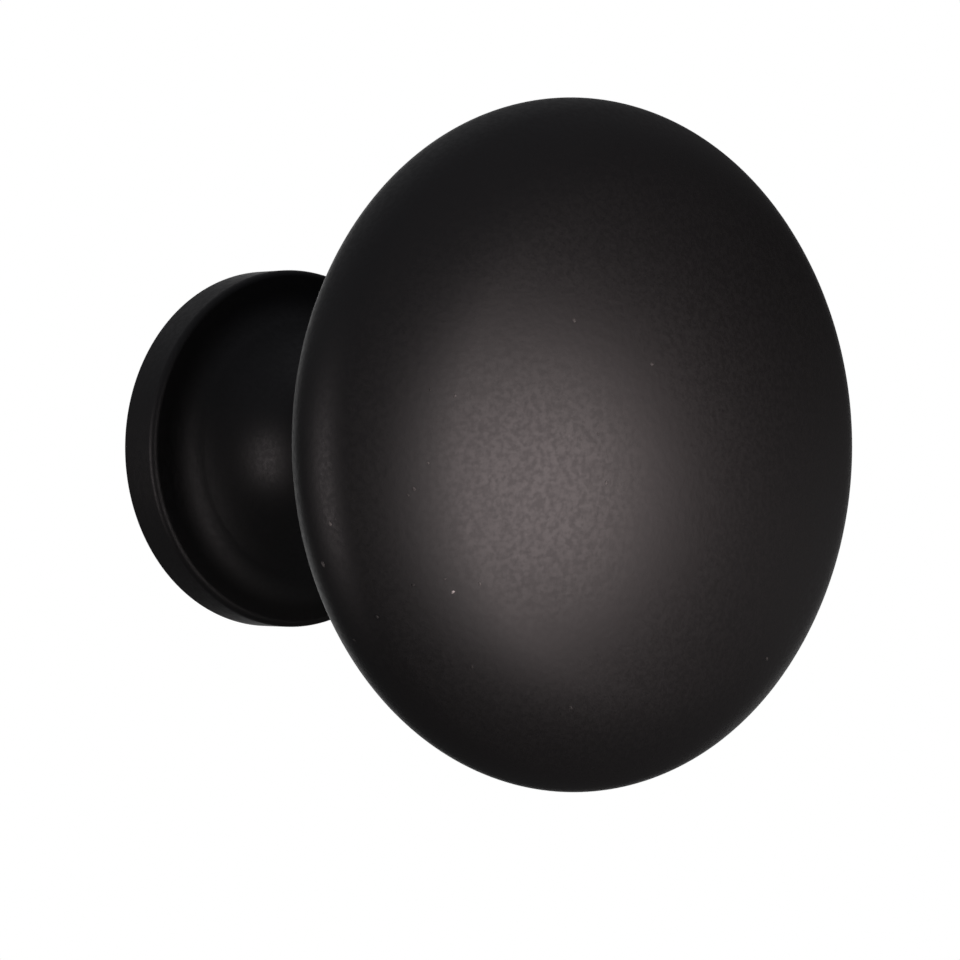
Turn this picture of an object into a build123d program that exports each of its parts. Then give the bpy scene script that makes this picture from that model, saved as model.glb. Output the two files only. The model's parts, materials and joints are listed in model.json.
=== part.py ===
from build123d import *
import os
from math import acos, cos, degrees, hypot, radians, sin, tan

# Cabinet knob: one solid body of revolution with a blind screw hole in its back.
# The mounting face lies at y = 0, the knob's axis runs along -Y, and the dome faces -Y.

# Driving dimensions in millimetres, angles in degrees
head_diameter = 31.8
projection = 31.3               # mounting face to the crown of the dome
rim_radius = 3.5                # round of the head's edge, front and back
shoulder_radius = 9.5           # slower curve between the rim and the dome
shoulder_start = 37.0           # lean of the surface from the side of the head, where the rim ends
dome_radius = 28.0
waist_diameter = 8.4            # thinnest place of the neck
cove_lean = 38.0                # slope against the front of the base where the bead runs into the cove
bead_radius = 1.5               # soft swelling at the foot of the neck
foot_lean = 44.0                # slope where the foot's hollow runs into the bead
foot_fillet = 2.3               # hollow between the front of the base and the bead
ledge_width = 0.9               # flat ring on the front of the base, outside the neck's foot
base_diameter = 17.7
base_thickness = 2.5
base_front_round = 0.35
base_back_round = 0.3
screw_diameter = 4.17           # outside of the screw's thread
hole_depth = 11.0               # mounting face to the end of the hole's straight wall
mouth_chamfer = 0.3
drill_point_angle = 118.0

# The section is drawn with x as the radius and y as the distance from the mounting face
head_radius = head_diameter / 2
waist_radius = waist_diameter / 2
base_radius = base_diameter / 2
screw_radius = screw_diameter / 2
drill_tip_y = hole_depth + screw_radius / tan(radians(drill_point_angle / 2))

# Rim, shoulder and dome are tangent arcs, and the dome is centred on the axis
rim_x = head_radius - rim_radius
rim_to_shoulder = shoulder_radius - rim_radius
shoulder_to_dome = dome_radius - shoulder_radius
shoulder_x = rim_x - rim_to_shoulder * cos(radians(shoulder_start))
dome_start = degrees(acos(shoulder_x / shoulder_to_dome))
dome_y = projection - dome_radius
shoulder_y = dome_y + shoulder_to_dome * sin(radians(dome_start))
rim_y = shoulder_y + rim_to_shoulder * sin(radians(shoulder_start))

# The foot of the neck is an ogee: a hollow fillet, a bead and a cove that is upright at the waist
foot_x = base_radius - ledge_width
foot_y = base_thickness + foot_fillet
foot_to_bead = foot_fillet + bead_radius
bead_x = foot_x - foot_to_bead * sin(radians(foot_lean))
bead_y = foot_y - foot_to_bead * cos(radians(foot_lean))
cove_start_x = bead_x + bead_radius * sin(radians(cove_lean))
cove_radius = (cove_start_x - waist_radius) / (1 - sin(radians(cove_lean)))
cove_x = waist_radius + cove_radius
waist_y = bead_y + (bead_radius + cove_radius) * cos(radians(cove_lean))

# The flare under the head is upright at the waist and tangent to the back of the rim
overhang = rim_x - waist_radius
rise = rim_y - waist_y
flare_radius = (overhang**2 + rise**2 - rim_radius**2) / (2 * (overhang + rim_radius))
flare_x = waist_radius + flare_radius
flare_turn = degrees(acos((flare_x - rim_x) / hypot(flare_x - rim_x, rise)))

section_plane = Plane(origin=(0, 0, 0), x_dir=(1, 0, 0), z_dir=(0, 0, -1))
base_front_corner = (base_radius, base_thickness)
base_back_corner = (base_radius, 0)


def corner(sketch, point):
    return sketch.vertices().sort_by_distance(point)[0]


with BuildPart() as knob:
    with BuildSketch(section_plane) as section:
        with BuildLine():
            # Axis, screw hole, mounting face and base
            Polyline(
                (0, projection),
                (0, drill_tip_y),
                (screw_radius, hole_depth),
                (screw_radius, mouth_chamfer),
                (screw_radius + mouth_chamfer, 0),
                base_back_corner,
                base_front_corner,
                (foot_x, base_thickness),
            )
            # Neck
            CenterArc((foot_x, foot_y), foot_fillet, 270, -foot_lean)
            CenterArc((bead_x, bead_y), bead_radius, 90 - foot_lean, foot_lean - cove_lean)
            CenterArc((cove_x, waist_y), cove_radius, 270 - cove_lean, cove_lean - 90)
            CenterArc((flare_x, waist_y), flare_radius, 180, -flare_turn)
            # Head
            CenterArc((rim_x, rim_y), rim_radius, -flare_turn, flare_turn + shoulder_start)
            CenterArc((shoulder_x, shoulder_y), shoulder_radius, shoulder_start, dome_start - shoulder_start)
            CenterArc((0, dome_y), dome_radius, dome_start, 90 - dome_start)
        make_face()
        fillet(corner(section, base_front_corner), base_front_round)
        fillet(corner(section, base_back_corner), base_back_round)
    revolve(axis=Axis.Y)

os.makedirs("parts", exist_ok=True)
export_step(knob.part, "parts/knob_body.step")
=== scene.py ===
import json
import math

import bpy
import numpy as np
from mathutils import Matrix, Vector
from mathutils.bvhtree import BVHTree


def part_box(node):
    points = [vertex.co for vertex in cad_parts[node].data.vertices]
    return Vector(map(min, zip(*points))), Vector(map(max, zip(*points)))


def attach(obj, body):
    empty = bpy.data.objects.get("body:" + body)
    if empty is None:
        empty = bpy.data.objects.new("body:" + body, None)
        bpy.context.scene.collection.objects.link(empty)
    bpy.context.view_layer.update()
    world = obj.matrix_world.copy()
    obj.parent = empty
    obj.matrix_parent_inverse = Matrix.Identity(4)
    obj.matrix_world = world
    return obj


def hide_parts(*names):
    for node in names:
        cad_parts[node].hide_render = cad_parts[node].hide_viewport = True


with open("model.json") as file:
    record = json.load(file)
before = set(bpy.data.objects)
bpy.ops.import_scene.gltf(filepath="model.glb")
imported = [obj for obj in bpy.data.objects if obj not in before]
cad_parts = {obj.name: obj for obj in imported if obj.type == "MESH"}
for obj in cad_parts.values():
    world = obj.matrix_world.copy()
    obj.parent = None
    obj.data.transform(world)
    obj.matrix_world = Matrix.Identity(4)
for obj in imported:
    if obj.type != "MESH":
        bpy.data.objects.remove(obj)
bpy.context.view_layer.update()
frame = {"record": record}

mm = 0.001
mounts = {mount["name"]: mount for mount in frame["record"]["mounts"]}
screwHole = mounts["screw_hole"]["dims"]
boxLow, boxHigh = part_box("knob_body")
print("frame loaded, box in mm:", [round((high - low) / mm, 2) for low, high in zip(boxLow, boxHigh)])


# Closed mesh from a grid of rings: row i joins row i + 1 and each row closes on itself.
# The first and the last row are single points, the two poles.
def ringMesh(name, rings):
    rows, around = rings.shape[:2]
    points = np.concatenate([rings[:1, 0], rings[1:-1].reshape(-1, 3), rings[-1:, 0]])
    index = np.arange(rows * around).reshape(rows, around) - (around - 1)
    index = np.clip(index, 0, len(points) - 1)
    after = np.roll(index, -1, axis=1)
    first = np.stack([index[0], index[1], after[1]], axis=-1)
    sides = np.stack([index[1:-2], index[2:-1], after[2:-1], after[1:-2]], axis=-1).reshape(-1, 4)
    last = np.stack([index[-2], index[-1], after[-2]], axis=-1)
    mesh = bpy.data.meshes.new(name)
    mesh.from_pydata(points.tolist(), [], first.tolist() + sides.tolist() + last.tolist())
    mesh.update()
    mesh.shade_smooth()
    piece = bpy.data.objects.new(name, mesh)
    bpy.context.scene.collection.objects.link(piece)
    return piece


# Section of the knob as the solid has it: radii and lengths in millimetres, angles in degrees
knobShape = {
    "rim": 3.5,
    "shoulder": 9.5,
    "shoulderStart": 37.0,       # lean of the surface where the rim ends
    "dome": 28.0,
    "waist": 4.2,
    "coveLean": 38.0,            # slope where the bead runs into the cove
    "bead": 1.5,
    "footLean": 44.0,            # slope where the foot's hollow runs into the bead
    "footFillet": 2.3,
    "ledge": 0.9,                # width of the flat ring outside the neck's foot
    "base": 8.85,
    "baseThickness": 2.5,
    "frontRound": 0.35,
    "backRound": 0.3,
    "holeDepth": 11.0,
    "mouthChamfer": 0.3,
    "drillPoint": 118.0,
    "mouthRing": 1.0,            # ring of the mounting face round the mouth, which has faces of its own
    "mouthRows": 3,
    "pointsAround": 256,
    "turnStep": 2.2,             # degrees from point to point along an arc
    "longestStep": 0.4,          # the same in millimetres
    "shortestStep": 1e-6,        # closer points are one
    "sharpFrom": 30.0,           # edges sharper than this aren't shaded smooth
}


# Arc: its centre plus its radius times the cosine and sine of evenly spaced angles.
def arcPoints(centre, radius, start, sweep):
    length = radius * math.radians(abs(sweep))
    steps = math.ceil(max(abs(sweep) / knobShape["turnStep"], length / knobShape["longestStep"]))
    angle = np.radians(start + sweep * np.linspace(0, 1, steps + 1))
    return np.stack([centre[0] + radius * np.cos(angle), centre[1] + radius * np.sin(angle)], axis=1)


# Profile from the crown to the tip of the drilled hole, as radius and distance from the mounting face.
# Dome, shoulder, rim, flare, cove, bead and fillet are arcs that share a tangent where they meet:
# the next centre lies on the line through the last centre and their common point.
def knobProfile(shape):
    turn = math.radians
    head = boxHigh.x / mm
    crown = -boxLow.y / mm
    hole = screwHole["r_mm"]
    rimX = head - shape["rim"]
    shoulderX = rimX - (shape["shoulder"] - shape["rim"]) * math.cos(turn(shape["shoulderStart"]))
    domeStart = math.degrees(math.acos(shoulderX / (shape["dome"] - shape["shoulder"])))
    domeY = crown - shape["dome"]
    shoulderY = domeY + (shape["dome"] - shape["shoulder"]) * math.sin(turn(domeStart))
    rimY = shoulderY + (shape["shoulder"] - shape["rim"]) * math.sin(turn(shape["shoulderStart"]))
    footX = shape["base"] - shape["ledge"]
    footY = shape["baseThickness"] + shape["footFillet"]
    footToBead = shape["footFillet"] + shape["bead"]
    beadX = footX - footToBead * math.sin(turn(shape["footLean"]))
    beadY = footY - footToBead * math.cos(turn(shape["footLean"]))
    coveLean = shape["coveLean"]
    coveStartX = beadX + shape["bead"] * math.sin(turn(coveLean))
    cove = (coveStartX - shape["waist"]) / (1 - math.sin(turn(coveLean)))
    coveX = shape["waist"] + cove
    waistY = beadY + (shape["bead"] + cove) * math.cos(turn(coveLean))
    overhang = rimX - shape["waist"]
    rise = rimY - waistY
    flare = (overhang**2 + rise**2 - shape["rim"]**2) / (2 * (overhang + shape["rim"]))
    flareX = shape["waist"] + flare
    flareTurn = math.degrees(math.acos((flareX - rimX) / math.hypot(flareX - rimX, rise)))
    front = (shape["base"] - shape["frontRound"], shape["baseThickness"] - shape["frontRound"])
    back = (shape["base"] - shape["backRound"], shape["backRound"])
    mouth = hole + shape["mouthChamfer"]
    tip = shape["holeDepth"] + hole / math.tan(turn(shape["drillPoint"] / 2))
    runs = [
        arcPoints((0, domeY), shape["dome"], 90, domeStart - 90),
        arcPoints((shoulderX, shoulderY), shape["shoulder"], domeStart, shape["shoulderStart"] - domeStart),
        arcPoints((rimX, rimY), shape["rim"], shape["shoulderStart"], -flareTurn - shape["shoulderStart"]),
        arcPoints((flareX, waistY), flare, 180 - flareTurn, flareTurn),
        arcPoints((coveX, waistY), cove, 180, 90 - coveLean),
        arcPoints((beadX, beadY), shape["bead"], 90 - coveLean, coveLean - shape["footLean"]),
        arcPoints((footX, footY), shape["footFillet"], 270 - shape["footLean"], shape["footLean"]),
        arcPoints(front, shape["frontRound"], 90, -90),
        arcPoints(back, shape["backRound"], 0, -90),
        np.linspace((mouth + shape["mouthRing"], 0), (mouth, 0), shape["mouthRows"]),
        np.array([(hole, shape["mouthChamfer"]), (hole, shape["holeDepth"]), (0, tip)]),
    ]
    points = np.concatenate(runs)
    apart = np.hypot(*np.diff(points, axis=0).T) > shape["shortestStep"]
    return points[np.concatenate([[True], apart])]


# Turned surface: each profile point goes once round the Y axis, at its radius.
def turnedRings(profile, around):
    angle = np.linspace(0, 2 * np.pi, around, endpoint=False)
    radius, depth = profile[:, :1], profile[:, 1:]
    x = radius * np.cos(angle)
    z = radius * np.sin(angle)
    y = -np.repeat(depth, around, axis=1)
    return np.stack([x, y, z], axis=-1) * mm


knobProfilePoints = knobProfile(knobShape)
knob = ringMesh("knob_coated", turnedRings(knobProfilePoints, knobShape["pointsAround"]))
knob.data.set_sharp_from_angle(angle=math.radians(knobShape["sharpFrom"]))
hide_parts("knob_body")
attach(knob, "root")
print("knob turned:", len(knobProfilePoints), "profile points,", len(knob.data.polygons), "faces")


# Thread cut in the hole, an 8-32 machine screw thread, in millimetres
threadShape = {
    "pitch": 0.794,
    "height": 0.37,
    "crestWidth": 0.14,
    "flank": 30.0,               # degrees from square to the axis
    "sunk": 0.03,                # how far its back lies inside the wall
    "start": 0.75,               # from the mounting face to the first turn
    "end": 9.6,
    "fadeTurns": 0.6,            # run-out at both ends
    "fadeLeast": 0.01,           # share that is left at the very ends
    "pointsPerTurn": 72,
    "sharpFrom": 40.0,
}


# Thread ridge: a trapezium section is carried along a helix in the hole's wall.
# Its height rises and falls with the smooth step 3t^2 - 2t^3 over the first and the last part of a turn.
def threadRings(shape):
    hole = screwHole["r_mm"]
    turns = (shape["end"] - shape["start"]) / shape["pitch"]
    along = np.linspace(0, turns, int(turns * shape["pointsPerTurn"]))
    fade = np.clip(np.minimum(along, turns - along) / shape["fadeTurns"], shape["fadeLeast"], 1)
    height = shape["height"] * fade**2 * (3 - 2 * fade)
    lean = math.tan(math.radians(shape["flank"]))
    half = shape["crestWidth"] / 2
    sunk = np.full_like(height, -shape["sunk"])
    inward = np.stack([sunk, height, height, sunk], axis=1)
    foot = half * fade + (height + shape["sunk"]) * lean
    across = np.stack([foot, half * fade, -half * fade, -foot], axis=1)
    depth = shape["start"] + shape["pitch"] * along[:, None] + across
    angle = 2 * np.pi * along[:, None]
    radius = hole - inward
    return np.stack([radius * np.cos(angle), -depth, radius * np.sin(angle)], axis=-1) * mm


thread = ringMesh("screw_thread", threadRings(threadShape))
thread.data.set_sharp_from_angle(angle=math.radians(threadShape["sharpFrom"]))
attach(thread, "root")
print("thread cut:", len(thread.data.polygons), "faces")


# Camera at the photograph's viewing angle, with a long lens, close to the knob: degrees and metres
view = {
    "azimuth": -40.16,           # 0 looks along +Y
    "elevation": -0.17,
    "distance": 0.2,
    "aim": (-0.00359, -0.02075, -0.00161),
    "focalPixels": 4364.0,       # for the photograph's width in pixels
    "imageWidth": 960,
    "sensorWidth": 36.0,         # millimetres
    "nearest": 0.01,
}


# Unit vector towards a point at an azimuth and an elevation, as the view tool counts them.
def towards(azimuth, elevation):
    a, e = math.radians(azimuth), math.radians(elevation)
    return Vector((math.sin(a) * math.cos(e), -math.cos(a) * math.cos(e), math.sin(e)))


camera = bpy.data.cameras.new("camera")
camera.sensor_width = view["sensorWidth"]
camera.lens = camera.sensor_width * view["focalPixels"] / view["imageWidth"]
camera.clip_start = view["nearest"]
cameraObject = bpy.data.objects.new("camera", camera)
bpy.context.scene.collection.objects.link(cameraObject)
lookBack = towards(view["azimuth"], view["elevation"])
cameraObject.location = Vector(view["aim"]) + lookBack * view["distance"]
cameraObject.rotation_euler = lookBack.to_track_quat("Z", "Y").to_euler()
bpy.context.scene.camera = cameraObject
print("camera set, lens mm:", round(camera.lens, 1))


# Specks of grit in the coat: where the photograph shows them, and scattered over the sides
# that it doesn't show
grit = {
    "seenAt": {                  # pixels across and down, width in millimetres, and paleness
        "overCrown": (574, 320, 0.20, 0.065),
        "rightOfCrown": (652, 364, 0.20, 0.05),
        "leftOfGlow": (414, 489, 0.17, 0.055),
        "underGlow": (453, 592, 0.16, 0.3),
        "nearUnderGlow": (445, 579, 0.12, 0.05),
        "onRim": (330, 524, 0.19, 0.11),
        "lowOnRim": (323, 564, 0.26, 0.07),
        "lowLeft": (377, 617, 0.16, 0.007),
        "lowerLeft": (354, 640, 0.16, 0.012),
        "low": (472, 667, 0.16, 0.009),
        "lowest": (571, 708, 0.18, 0.016),
        "lowRight": (767, 659, 0.19, 0.024),
        "farLeftOfGlow": (408, 495, 0.12, 0.032),
        "highLeftOfGlow": (428, 463, 0.12, 0.1),
        "lowLeftOfGlow": (413, 585, 0.14, 0.016),
        "rightUnderGlow": (480, 584, 0.12, 0.1),
        "leftOverGlow": (430, 390, 0.11, 0.024),
        "overGlow": (455, 396, 0.12, 0.08),
        "rightOverGlow": (598, 434, 0.11, 0.07),
        "rightOfGlow": (606, 483, 0.14, 0.1),
    },
    "scattered": 90,             # drawn, of which those that face away from the camera are kept
    "scatteredWidth": (0.06, 0.17),      # millimetres
    "scatteredPale": (0.015, 0.07),
    "seed": 7,
    "innermost": 3.2,            # least radius, millimetres, which keeps them out of the hole
    "turnedAway": 0.0,           # scattered ones face the camera less than this
    "height": 0.3,               # share of the width
    "sunk": 0.08,                # the same
    "twoLobes": 0.22,            # how far the outline swells, as a share of its radius
    "threeLobes": 0.12,
    "rings": 5,
    "around": 12,
    "tint": (1.0, 0.95, 0.92),
    "mottle": (0.75, 1.25),      # how much the paleness changes over a speck
    "roughness": 0.75,
    "grainSize": 0.03 * mm,
}


# Where a photograph's pixel meets the knob: the ray leaves the camera through that pixel.
def seenOnKnob(specks):
    corners = [vertex.co for vertex in knob.data.vertices]
    surface = BVHTree.FromPolygons(corners, [face.vertices for face in knob.data.polygons])
    half = view["imageWidth"] / 2
    turn = cameraObject.rotation_euler.to_matrix()
    hits = []
    for across, down, width, pale in specks:
        ray = turn @ Vector((across - half, half - down, -view["focalPixels"])).normalized()
        place, normal = surface.ray_cast(cameraObject.location, ray)[:2]
        hits.append((*place, *normal, width * mm, pale))
    hits = np.array(hits)
    return hits[:, :3], hits[:, 3:6], hits[:, 6], hits[:, 7]


# Scatter over the turned surface: a profile step is drawn in proportion to its length times its radius,
# then a place along it and a turn round the axis. The normal is square to the step, and a place is kept
# where the normal's share in the direction of the camera is small.
def scatteredOnKnob(values, profile):
    draw = np.random.default_rng(values["seed"])
    steps = np.diff(profile, axis=0)
    middle = (profile[1:] + profile[:-1]) / 2
    length = np.hypot(steps[:, 0], steps[:, 1])
    outside = (middle[:, 0] > values["innermost"]) & (middle[:, 1] > 0)
    weight = length * middle[:, 0] * outside
    row = draw.choice(len(steps), values["scattered"], p=weight / weight.sum())
    along = draw.random(values["scattered"])[:, None]
    angle = draw.random(values["scattered"]) * 2 * np.pi
    point = profile[row] + steps[row] * along
    lean = np.stack([-steps[row, 1], steps[row, 0]], axis=1) / length[row, None]
    x, z = np.cos(angle), np.sin(angle)
    place = np.stack([point[:, 0] * x, -point[:, 1], point[:, 0] * z], axis=1) * mm
    normal = np.stack([lean[:, 0] * x, -lean[:, 1], lean[:, 0] * z], axis=1)
    width = draw.uniform(*values["scatteredWidth"], values["scattered"]) * mm
    pale = draw.uniform(*values["scatteredPale"], values["scattered"])
    kept = normal @ np.array(lookBack) < values["turnedAway"]
    return place[kept], normal[kept], width[kept], pale[kept]


# Speck: a low dome over a lobed outline. Its radius goes with the sine and its height with the cosine of
# the angle from its top, and the outline swells with two cosine waves round it. Its points carry its
# paleness.
def gritMesh(values, place, normal, width, pale):
    draw = np.random.default_rng(values["seed"] + 1)
    count = len(place)
    fall = np.linspace(0, np.pi / 2, values["rings"])[1:, None]
    turn = np.linspace(0, 2 * np.pi, values["around"], endpoint=False)
    phase = draw.random((2, count, 1, 1)) * 2 * np.pi
    swell = values["twoLobes"] * np.cos(2 * turn + phase[0])
    lobes = 1 + swell + values["threeLobes"] * np.cos(3 * turn + phase[1])
    radius = width[:, None, None] / 2 * np.sin(fall) * lobes
    rise = values["height"] * np.cos(fall) - values["sunk"]
    height = width[:, None, None] * rise * np.ones_like(turn)
    nearZ = 0.8                  # a normal closer to Z than this is crossed with X instead
    helper = np.where(np.abs(normal[:, 2:]) < nearZ, (0.0, 0.0, 1.0), (1.0, 0.0, 0.0))
    right = np.cross(normal, helper)
    right /= np.linalg.norm(right, axis=1, keepdims=True)
    up = np.cross(normal, right)
    rings = (
        place[:, None, None]
        + right[:, None, None] * (radius * np.cos(turn))[..., None]
        + up[:, None, None] * (radius * np.sin(turn))[..., None]
        + normal[:, None, None] * height[..., None]
    )
    top = place + normal * (width * (values["height"] - values["sunk"]))[:, None]
    points = np.concatenate([top[:, None], rings.reshape(count, -1, 3)], axis=1)
    index = 1 + np.arange((values["rings"] - 1) * values["around"]).reshape(-1, values["around"])
    after = np.roll(index, -1, axis=1)
    sides = np.stack([index[:-1], index[1:], after[1:], after[:-1]], axis=-1).reshape(-1, 4)
    caps = np.stack([np.zeros_like(index[0]), index[0], after[0]], axis=-1)
    under = index[-1:, ::-1]
    offset = np.arange(count)[:, None, None] * points.shape[1]
    faces = []
    for part in (sides, caps, under):
        faces += (part + offset).reshape(-1, part.shape[1]).tolist()
    mesh = bpy.data.meshes.new("coat_grit")
    mesh.from_pydata(points.reshape(-1, 3).tolist(), [], faces)
    mesh.update()
    mesh.shade_smooth()
    paleness = mesh.attributes.new("pale", "FLOAT", "POINT")
    paleness.data.foreach_set("value", np.repeat(pale, points.shape[1]))
    return mesh


seenGrit = seenOnKnob(grit["seenAt"].values())
looseGrit = scatteredOnKnob(grit, knobProfilePoints)
allGrit = [np.concatenate(pair) for pair in zip(seenGrit, looseGrit)]
gritPiece = bpy.data.objects.new("coat_grit", gritMesh(grit, *allGrit))
bpy.context.scene.collection.objects.link(gritPiece)
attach(gritPiece, "root")
print("grit set:", len(allGrit[0]), "specks")


# Oval lamps round the knob: azimuth and elevation, distance in metres, half angles across and up,
# brightness and colour
lamps = {
    "keyWide": {
        "at": (-9.4, -11.5),
        "away": 0.115,
        "half": (32.4, 32.5),
        "glow": 1.58,
        "colour": (1.0, 0.905, 0.91),
    },
    "keyCore": {
        "at": (3.7, -8.0),
        "away": 0.115,
        "half": (18.6, 18.5),
        "glow": 5.8,
        "colour": (1.0, 0.835, 0.828),
    },
    "leftOval": {
        "at": (-109.4, -10.5),
        "away": 0.25,
        "half": (6.8, 21.0),
        "glow": 3.6,
        "colour": (1.0, 0.89, 0.9),
    },
}
lampCentre = Vector((0, -20 * mm, 0))        # place in the head that the lamps stand round and face

for lampName, lamp in lamps.items():
    light = bpy.data.lights.new(lampName, "AREA")
    light.shape = "ELLIPSE"
    light.size = 2 * lamp["away"] * math.tan(math.radians(lamp["half"][0]))
    light.size_y = 2 * lamp["away"] * math.tan(math.radians(lamp["half"][1]))
    area = math.pi / 4 * light.size * light.size_y
    light.energy = lamp["glow"] * math.pi * area        # gives the same glow all over its face
    light.color = lamp["colour"]
    lampObject = bpy.data.objects.new(lampName, light)
    bpy.context.scene.collection.objects.link(lampObject)
    outward = towards(*lamp["at"])
    lampObject.location = lampCentre + outward * lamp["away"]
    lampObject.rotation_euler = outward.to_track_quat("Z", "Y").to_euler()
    lampObject.visible_camera = False
print("lamps set:", len(lamps))


# Node of a kind, with inputs set by name: an underscore stands for a space.
def newNode(tree, kind, **inputs):
    made = tree.nodes.new(kind)
    for name, value in inputs.items():
        made.inputs[name.replace("_", " ")].default_value = value
    return made


# Sum, product or the like of two values, each a number or another node's output.
def mathNode(tree, operation, first, second=0.0):
    made = tree.nodes.new("ShaderNodeMath")
    made.operation = operation
    for socket, value in zip(made.inputs, (first, second)):
        if isinstance(value, (int, float)):
            socket.default_value = value
        else:
            tree.links.new(value, socket)
    return made.outputs[0]


# Value carried from one range to another, and held at the ends.
def rangeNode(tree, value, fromLow, fromHigh, toLow, toHigh, easing="SMOOTHSTEP"):
    made = newNode(tree, "ShaderNodeMapRange", From_Min=fromLow, From_Max=fromHigh)
    made.inputs["To Min"].default_value = toLow
    made.inputs["To Max"].default_value = toHigh
    made.interpolation_type = easing
    tree.links.new(value, made.inputs["Value"])
    return made.outputs["Result"]


# Blend of two colours, each a tuple or another node's output.
def mixColour(tree, factor, first, second):
    made = tree.nodes.new("ShaderNodeMix")
    made.data_type = "RGBA"
    colourA, colourB, colourOut = made.inputs[6], made.inputs[7], made.outputs[2]
    for socket, value in ((made.inputs["Factor"], factor), (colourA, first), (colourB, second)):
        if isinstance(value, tuple):
            socket.default_value = (*value, 1.0)
        else:
            tree.links.new(value, socket)
    return colourOut


# Share of a direction in another one: the cosine of the angle between them.
def facingNode(tree, direction, azimuth, elevation):
    made = tree.nodes.new("ShaderNodeVectorMath")
    made.operation = "DOT_PRODUCT"
    made.inputs[1].default_value = towards(azimuth, elevation)
    tree.links.new(direction, made.inputs[0])
    return made.outputs["Value"]


# World: a dim room that is lighter overhead, and a white backdrop for camera and transmission rays.
# The coat mirrors the backdrop behind the knob, and a dim share of it on both sides and above:
# each wall's glow grows as the direction's share in the wall's own goes from "from" to "to".
room = {
    "level": 0.01,
    "overhead": 0.17,
    "overheadAt": (-90.0, 70.0),
    "colour": (0.95, 0.95, 1.04),
    "walls": {
        "back": {"at": (147.0, -8.0), "from": 0.87, "to": 0.92, "glow": 0.9},
        "left": {"at": (215.0, 0.0), "from": 0.25, "to": 1.0, "glow": 0.03},
        "right": {"at": (88.0, -40.0), "from": 0.6, "to": 1.0, "glow": 0.215},
        "upper": {"at": (155.0, 35.0), "from": 0.7, "to": 0.97, "glow": 0.13},
    },
}
world = bpy.data.worlds.new("room")
bpy.context.scene.world = world
world.use_nodes = True
roomTree = world.node_tree
roomTree.nodes.clear()
direction = roomTree.nodes.new("ShaderNodeTexCoord").outputs["Generated"]
upward = facingNode(roomTree, direction, *room["overheadAt"])
brightest = room["level"] + room["overhead"]
ceiling = rangeNode(roomTree, upward, 0.0, 1.0, room["level"], brightest, "LINEAR")
wallGlow = 0.0
for wall in room["walls"].values():
    facing = facingNode(roomTree, direction, *wall["at"])
    glow = rangeNode(roomTree, facing, wall["from"], wall["to"], 0.0, wall["glow"], "LINEAR")
    wallGlow = mathNode(roomTree, "ADD", glow, wallGlow)
roomLight = newNode(roomTree, "ShaderNodeBackground", Color=(*room["colour"], 1))
roomTree.links.new(ceiling, roomLight.inputs["Strength"])
white = newNode(roomTree, "ShaderNodeBackground", Color=(1, 1, 1, 1), Strength=1.0)
path = roomTree.nodes.new("ShaderNodeLightPath")
mirrored = mathNode(roomTree, "MULTIPLY", path.outputs["Is Glossy Ray"], wallGlow)
seen = mathNode(roomTree, "MAXIMUM", path.outputs["Is Camera Ray"], path.outputs["Is Transmission Ray"])
shown = roomTree.nodes.new("ShaderNodeMixShader")
roomTree.links.new(mathNode(roomTree, "MAXIMUM", seen, mirrored), shown.inputs[0])
roomTree.links.new(roomLight.outputs[0], shown.inputs[1])
roomTree.links.new(white.outputs[0], shown.inputs[2])
roomTree.links.new(shown.outputs[0], roomTree.nodes.new("ShaderNodeOutputWorld").inputs["Surface"])
print("room light set")


# Fine grain, which the coat, the bare metal and the grit share
grainShape = {
    "toneScale": 0.33,           # tone's noise is about three times as wide as a grain
    "toneDetail": 3.0,
    "toneRoughness": 0.6,
    "toneFrom": 0.3,             # noise that gives the darkest and the lightest tone
    "toneTo": 0.7,
    "bumpDetail": 1.0,
    "bumpRoughness": 0.5,
}


# Tone is wide noise, stretched to run from 0 to 1. Bumps is noise at the grain's size,
# with half as much again at half of it.
def fineGrainGroup(shape):
    group = bpy.data.node_groups.new("fine_grain", "ShaderNodeTree")
    group.interface.new_socket("Place", in_out="INPUT", socket_type="NodeSocketVector")
    group.interface.new_socket("Grains per Metre", in_out="INPUT", socket_type="NodeSocketFloat")
    group.interface.new_socket("Tone", in_out="OUTPUT", socket_type="NodeSocketFloat")
    group.interface.new_socket("Bumps", in_out="OUTPUT", socket_type="NodeSocketFloat")
    given = group.nodes.new("NodeGroupInput")
    result = group.nodes.new("NodeGroupOutput")
    noise = "ShaderNodeTexNoise"
    wide = newNode(group, noise, Detail=shape["toneDetail"], Roughness=shape["toneRoughness"])
    small = newNode(group, noise, Detail=shape["bumpDetail"], Roughness=shape["bumpRoughness"])
    for texture in (wide, small):
        group.links.new(given.outputs["Place"], texture.inputs["Vector"])
    grains = given.outputs["Grains per Metre"]
    group.links.new(mathNode(group, "MULTIPLY", grains, shape["toneScale"]), wide.inputs["Scale"])
    group.links.new(grains, small.inputs["Scale"])
    tone = rangeNode(group, wide.outputs["Fac"], shape["toneFrom"], shape["toneTo"], 0.0, 1.0)
    group.links.new(tone, result.inputs["Tone"])
    group.links.new(small.outputs["Fac"], result.inputs["Bumps"])
    return group


fineGrain = fineGrainGroup(grainShape)


# Fine grain of a size in metres, placed in a material.
def grainNode(tree, place, size):
    made = tree.nodes.new("ShaderNodeGroup")
    made.node_tree = fineGrain
    made.inputs["Grains per Metre"].default_value = 1 / size
    tree.links.new(place, made.inputs["Place"])
    return made


# Height in metres, as bumps in a shader's normal.
def bumpInto(tree, shader, height):
    bump = newNode(tree, "ShaderNodeBump", Strength=1.0, Distance=1.0)
    tree.links.new(height, bump.inputs["Height"])
    tree.links.new(bump.outputs["Normal"], shader.inputs["Normal"])


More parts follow.
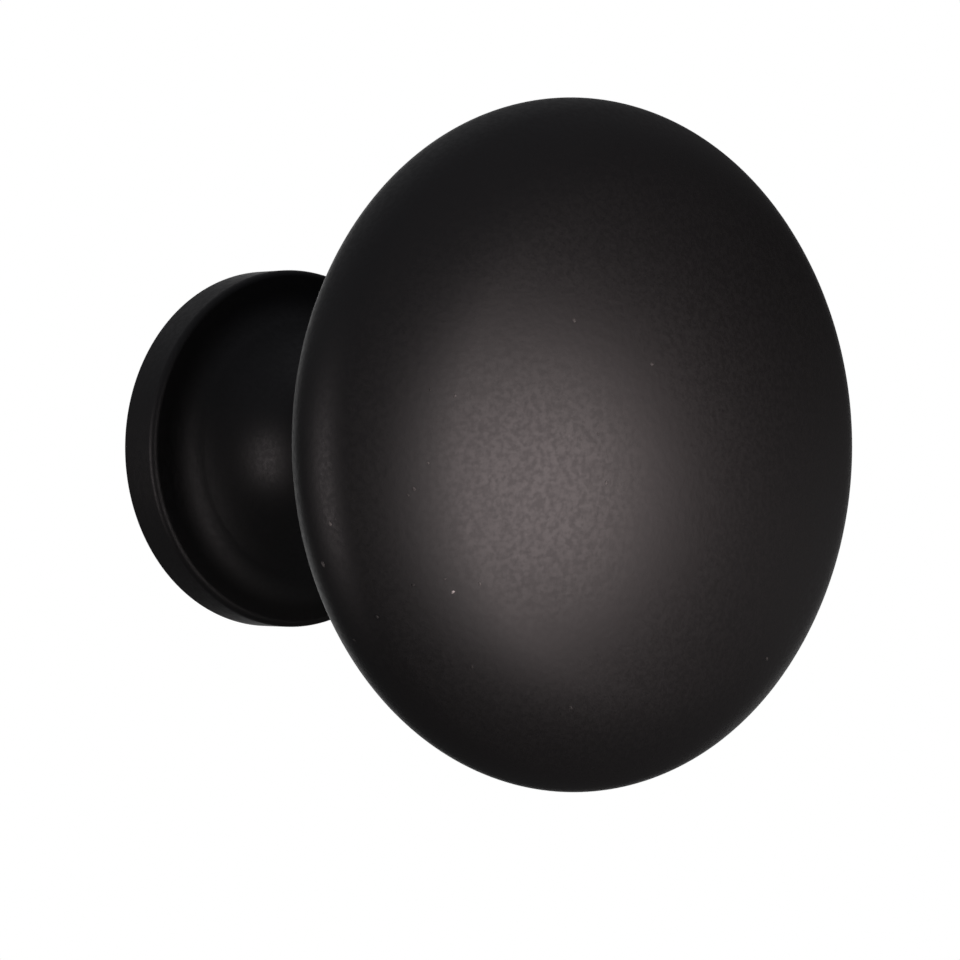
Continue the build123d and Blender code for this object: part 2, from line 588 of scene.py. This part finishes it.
# Bare cast zinc of the screw thread, which also shows inside the hole
zinc = {
    "dark": (0.30, 0.30, 0.31),
    "light": (0.46, 0.46, 0.47),
    "smooth": 0.30,
    "rough": 0.46,
    "grainSize": 0.06 * mm,
    "grainHeight": 0.003 * mm,
}


# Zinc: the grain's tone blends two greys, lighter ones being smoother, and its bumps raise the surface.
def zincMaterial(values):
    material = bpy.data.materials.new("bare_zinc")
    material.use_nodes = True
    tree = material.node_tree
    shader = tree.nodes["Principled BSDF"]
    shader.inputs["Metallic"].default_value = 1.0
    place = tree.nodes.new("ShaderNodeTexCoord").outputs["Object"]
    grain = grainNode(tree, place, values["grainSize"])
    colour = mixColour(tree, grain.outputs["Tone"], values["dark"], values["light"])
    tree.links.new(colour, shader.inputs["Base Color"])
    roughness = rangeNode(tree, grain.outputs["Tone"], 0.0, 1.0, values["rough"], values["smooth"])
    tree.links.new(roughness, shader.inputs["Roughness"])
    bumpInto(tree, shader, mathNode(tree, "MULTIPLY", grain.outputs["Bumps"], values["grainHeight"]))
    return material


# Black coat: fine grain, a slight peel, small smooth flecks, and bare zinc where the hole has no coat
coat = {
    "dark": (0.0018, 0.0017, 0.0018),
    "light": (0.003, 0.0028, 0.0029),
    "roughness": 0.485,
    "roughnessSpread": 0.04,
    "peelSize": 0.32 * mm,
    "peelHeight": 0.006 * mm,
    "peelDetail": 1.0,
    "grainSize": 0.08 * mm,
    "grainHeight": 0.0006 * mm,
    "fleckSpacing": 0.42 * mm,
    "fleckWidth": 0.075 * mm,
    "fleckCore": 0.6,            # share of a fleck that is fully smooth
    "fleckRoughness": 0.36,
    "bareRadius": 2.2 * mm,
    "bareFrom": (0.5 * mm, 1.3 * mm),    # the coat thins out over this depth
    "bareRagged": 0.5 * mm,      # how much that depth changes from place to place
    "bareTo": 14.0 * mm,
}


# Mask of the bare hole: 1 near the axis, from the depth where the coat ends to just past the drill's tip.
def bareMask(tree, values, place, unevenness):
    apart = tree.nodes.new("ShaderNodeSeparateXYZ")
    tree.links.new(place, apart.inputs[0])
    across = tree.nodes.new("ShaderNodeCombineXYZ")
    tree.links.new(apart.outputs["X"], across.inputs["X"])
    tree.links.new(apart.outputs["Z"], across.inputs["Z"])
    radius = tree.nodes.new("ShaderNodeVectorMath")
    radius.operation = "LENGTH"
    tree.links.new(across.outputs[0], radius.inputs[0])
    nearAxis = mathNode(tree, "LESS_THAN", radius.outputs["Value"], values["bareRadius"])
    depth = mathNode(tree, "MULTIPLY", apart.outputs["Y"], -1.0)
    ragged = mathNode(tree, "ADD", depth, mathNode(tree, "MULTIPLY", unevenness, values["bareRagged"]))
    inside = rangeNode(tree, ragged, *values["bareFrom"], 0.0, 1.0)
    beforeTip = mathNode(tree, "LESS_THAN", depth, values["bareTo"])
    return mathNode(tree, "MULTIPLY", mathNode(tree, "MULTIPLY", nearAxis, beforeTip), inside)


# Coat: the grain's tone blends two blacks and spreads the roughness, flecks are smoother,
# peel and grain raise the surface, and the mask turns black into bare metal.
def coatMaterial(values, metal):
    material = bpy.data.materials.new("black_coat_fine")
    material.use_nodes = True
    tree = material.node_tree
    shader = tree.nodes["Principled BSDF"]
    place = tree.nodes.new("ShaderNodeTexCoord").outputs["Object"]
    grain = grainNode(tree, place, values["grainSize"])
    peel = newNode(tree, "ShaderNodeTexNoise", Scale=1 / values["peelSize"], Detail=values["peelDetail"])
    fleck = newNode(tree, "ShaderNodeTexVoronoi", Scale=1 / values["fleckSpacing"])
    for texture in (peel, fleck):
        tree.links.new(place, texture.inputs["Vector"])
    edge = values["fleckWidth"] / values["fleckSpacing"] / 2
    flecks = rangeNode(tree, fleck.outputs["Distance"], edge * values["fleckCore"], edge, 1.0, 0.0)
    bare = bareMask(tree, values, place, peel.outputs["Fac"])

    black = mixColour(tree, grain.outputs["Tone"], values["dark"], values["light"])
    bright = mixColour(tree, grain.outputs["Tone"], metal["dark"], metal["light"])
    tree.links.new(mixColour(tree, bare, black, bright), shader.inputs["Base Color"])
    tree.links.new(bare, shader.inputs["Metallic"])
    low = values["roughness"] - values["roughnessSpread"]
    high = values["roughness"] + values["roughnessSpread"]
    coarse = rangeNode(tree, grain.outputs["Tone"], 0.0, 1.0, high, low)
    smoother = mathNode(tree, "SUBTRACT", values["fleckRoughness"], coarse)
    polished = mathNode(tree, "MULTIPLY", flecks, smoother)
    tree.links.new(mathNode(tree, "ADD", coarse, polished), shader.inputs["Roughness"])
    peelHeight = mathNode(tree, "MULTIPLY", peel.outputs["Fac"], values["peelHeight"])
    grainHeight = mathNode(tree, "MULTIPLY", grain.outputs["Bumps"], values["grainHeight"])
    bumpInto(tree, shader, mathNode(tree, "ADD", peelHeight, grainHeight))
    return material


# Grit: its tint times the paleness that a speck's points carry, which the grain's tone mottles.
def gritMaterial(values):
    material = bpy.data.materials.new("pale_grit")
    material.use_nodes = True
    tree = material.node_tree
    shader = tree.nodes["Principled BSDF"]
    shader.inputs["Roughness"].default_value = values["roughness"]
    place = tree.nodes.new("ShaderNodeTexCoord").outputs["Object"]
    grain = grainNode(tree, place, values["grainSize"])
    mottle = rangeNode(tree, grain.outputs["Tone"], 0.0, 1.0, *values["mottle"])
    pale = tree.nodes.new("ShaderNodeAttribute")
    pale.attribute_name = "pale"
    shade = mathNode(tree, "MULTIPLY", pale.outputs["Fac"], mottle)
    tree.links.new(mixColour(tree, shade, (0.0, 0.0, 0.0), values["tint"]), shader.inputs["Base Color"])
    return material


gritPiece.data.materials.append(gritMaterial(grit))
thread.data.materials.append(zincMaterial(zinc))
knob.data.materials.append(coatMaterial(coat, zinc))
print("materials made:", len(bpy.data.materials))


# Pale floor well below the knob, which runs into the white backdrop, in metres
floorShape = {
    "level": -0.25,
    "radius": 0.7,
    "around": 96,
    "colour": (0.8, 0.8, 0.79),
    "bounce": (0.14, 0.14, 0.14),   # its colour for the light that goes back to the knob
    "white": (0.86, 1.0),           # backdrop's white on it, under the knob and far from it
    "whiteFrom": 0.1,               # distance from the knob over which that grows
    "whiteTo": 0.5,
    "mirrored": 0.04,               # share of that white which the coat mirrors
    "roughness": 0.9,
}


# Floor: one flat round face, its edge at the radius times the cosine and sine of the angle round the knob.
def floorEdge(shape):
    angle = np.linspace(0, 2 * np.pi, shape["around"], endpoint=False)
    x = shape["radius"] * np.cos(angle)
    y = shape["radius"] * np.sin(angle) + lampCentre.y
    return np.stack([x, y, np.full_like(x, shape["level"])], axis=-1)


# The floor's own colour takes the light and the knob's shadow. The backdrop's white is added for the camera,
# and a share of it for the coat to mirror.
def floorMaterial(shape):
    material = bpy.data.materials.new("pale_floor")
    material.use_nodes = True
    tree = material.node_tree
    shader = tree.nodes["Principled BSDF"]
    shader.inputs["Roughness"].default_value = shape["roughness"]
    shader.inputs["Emission Strength"].default_value = 1.0
    path = tree.nodes.new("ShaderNodeLightPath")
    seen = mathNode(tree, "MAXIMUM", path.outputs["Is Camera Ray"], path.outputs["Is Transmission Ray"])
    colour = mixColour(tree, seen, shape["bounce"], shape["colour"])
    tree.links.new(colour, shader.inputs["Base Color"])
    away = tree.nodes.new("ShaderNodeVectorMath")
    away.operation = "DISTANCE"
    away.inputs[1].default_value = (lampCentre.x, lampCentre.y, shape["level"])
    tree.links.new(tree.nodes.new("ShaderNodeTexCoord").outputs["Object"], away.inputs[0])
    white = rangeNode(tree, away.outputs["Value"], shape["whiteFrom"], shape["whiteTo"], *shape["white"])
    mirrored = mathNode(tree, "MULTIPLY", path.outputs["Is Glossy Ray"], shape["mirrored"])
    shown = mathNode(tree, "MULTIPLY", white, mathNode(tree, "MAXIMUM", seen, mirrored))
    tree.links.new(shown, shader.inputs["Emission Color"])
    return material


floorMesh = bpy.data.meshes.new("floor")
floorMesh.from_pydata(floorEdge(floorShape).tolist(), [], [list(range(floorShape["around"]))])
floor = bpy.data.objects.new("floor", floorMesh)
bpy.context.scene.collection.objects.link(floor)
floorMesh.materials.append(floorMaterial(floorShape))
print("floor laid")

bpy.context.scene.view_settings.view_transform = "Standard"
